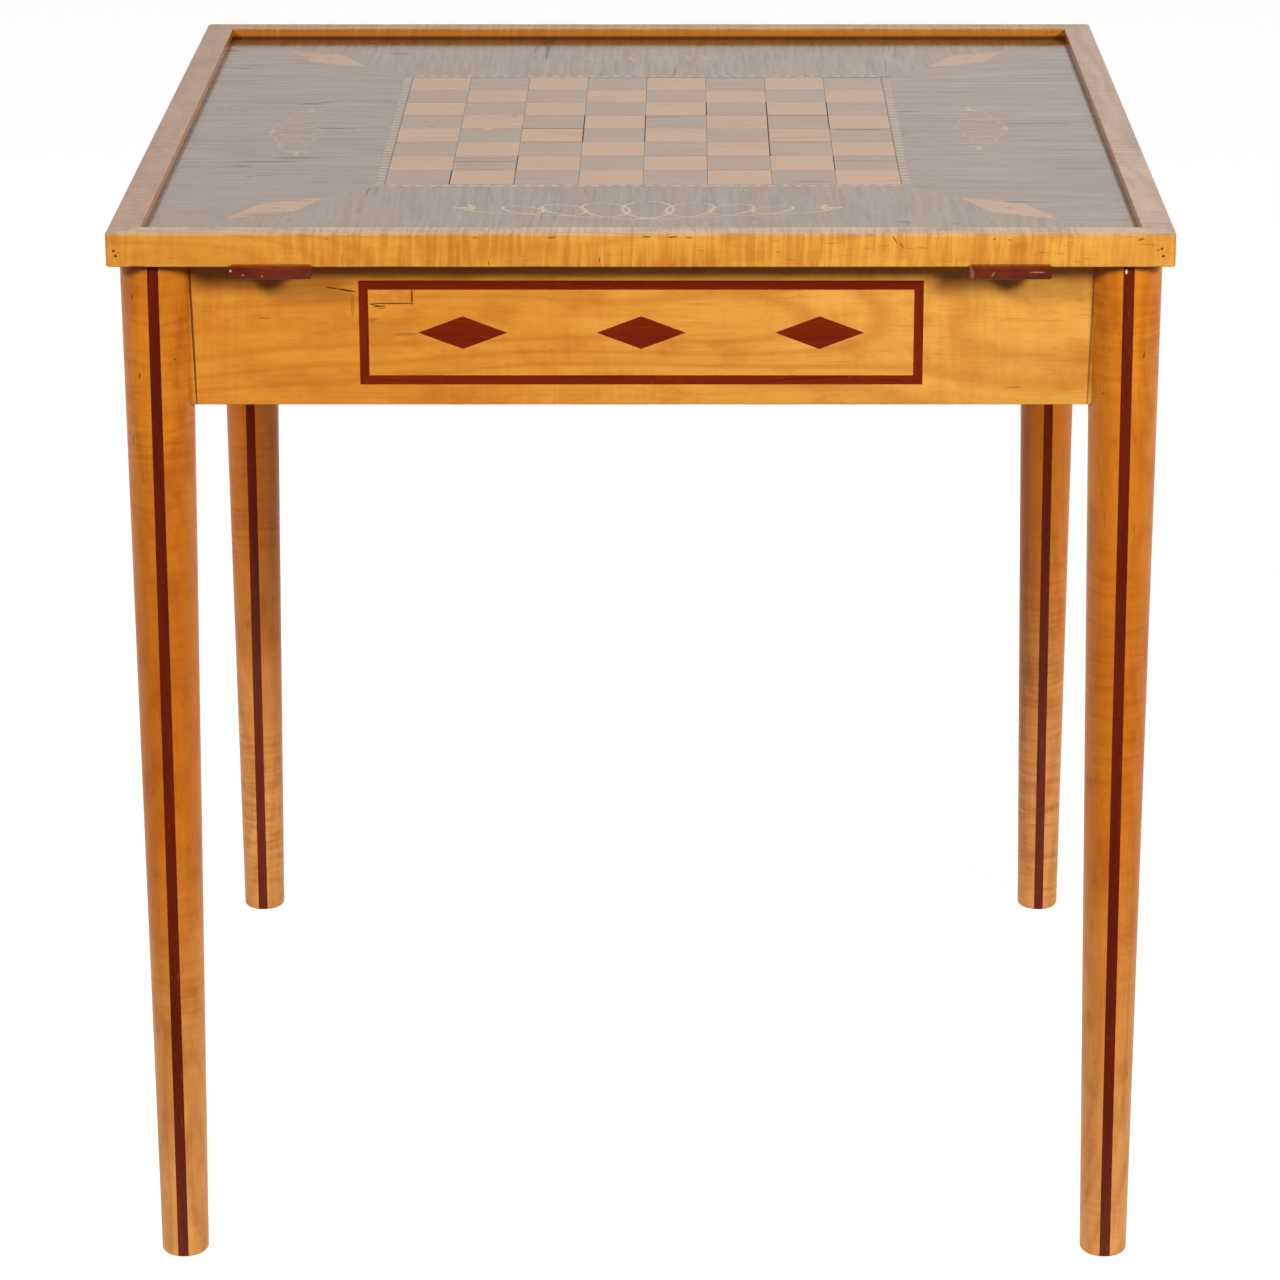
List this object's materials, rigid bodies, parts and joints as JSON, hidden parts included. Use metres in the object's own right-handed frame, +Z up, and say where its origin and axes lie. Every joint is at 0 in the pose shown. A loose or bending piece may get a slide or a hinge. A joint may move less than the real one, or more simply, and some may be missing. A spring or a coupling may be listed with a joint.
{
  "type": "chess table",
  "caption": "Square chess table with an inlaid board in a raised-edge tray top, round tapered legs with dark stringing, an inlaid apron and two small pull-out slides.",
  "frame": {"origin": "on the floor under the middle of the square top, which is the middle between the four feet", "axes": "+Z up; the front, with the inlaid apron and the two pull bars, faces -Y; +X is to the right of someone who faces the front"},
  "size_m": [0.7, 0.7083, 0.743],
  "materials": {
    "maple": "satin varnish over aged light wood",
    "maple_apron": "satin varnish over aged light wood",
    "maple_leg": "satin varnish over aged light wood",
    "light_inlay": "satin varnish over light veneer",
    "dark_veneer": "satin varnish over dark veneer, worn",
    "mahogany": "satin varnish over red-brown wood",
    "ground_wood": "bare softwood, dry and slightly dusty",
    "steel": "dull steel screws and brads"
  },
  "bodies": {
    "carcase": {"frame_rail_front": "maple", "frame_rail_right": "maple", "frame_rail_rear": "maple", "frame_rail_left": "maple", "apron_front": "maple_apron", "apron_right": "maple_apron", "apron_rear": "maple_apron", "apron_left": "maple_apron", "repair_patch": "maple_apron", "leg_front_left": "maple_leg", "leg_front_right": "maple_leg", "leg_rear_left": "maple_leg", "leg_rear_right": "maple_leg", "light_squares": "light_inlay", "corner_lozenges": "light_inlay", "border_strip_front": "light_inlay", "border_strip_right": "light_inlay", "border_strip_rear": "light_inlay", "border_strip_left": "light_inlay", "surround_front": "dark_veneer", "surround_right": "dark_veneer", "surround_rear": "dark_veneer", "surround_left": "dark_veneer", "dark_squares": "dark_veneer", "lozenge_centres": "dark_veneer", "apron_band_top": "mahogany", "apron_band_bottom": "mahogany", "apron_band_left": "mahogany", "apron_band_right": "mahogany", "apron_diamond_left": "mahogany", "apron_diamond_middle": "mahogany", "apron_diamond_right": "mahogany", "leg_string_front_left_front": "mahogany", "leg_string_front_left_rear": "mahogany", "leg_string_front_right_front": "mahogany", "leg_string_front_right_rear": "mahogany", "leg_string_rear_left_front": "mahogany", "leg_string_rear_left_rear": "mahogany", "leg_string_rear_right_front": "mahogany", "leg_string_rear_right_rear": "mahogany", "top_panel": "ground_wood", "corner_block_front_left": "ground_wood", "corner_block_front_right": "ground_wood", "corner_block_rear_left": "ground_wood", "corner_block_rear_right": "ground_wood", "slide_guide_left_outer": "ground_wood", "slide_guide_left_inner": "ground_wood", "slide_guide_right_outer": "ground_wood", "slide_guide_right_inner": "ground_wood", "corner_screws": "steel", "mitre_brads": "steel"},
    "left_slide": {"slide_board_left": "ground_wood", "pull_bar_left": "mahogany", "stop_peg_left": "ground_wood"},
    "right_slide": {"slide_board_right": "ground_wood", "pull_bar_right": "mahogany", "stop_peg_right": "ground_wood"}
  },
  "joints": [
    {"name": "left_slide_out", "type": "slide", "parent": "carcase", "child": "left_slide", "axis": [0, -1, 0], "range_m": [0, 0.15]},
    {"name": "right_slide_out", "type": "slide", "parent": "carcase", "child": "right_slide", "axis": [0, -1, 0], "range_m": [0, 0.15]}
  ]
}
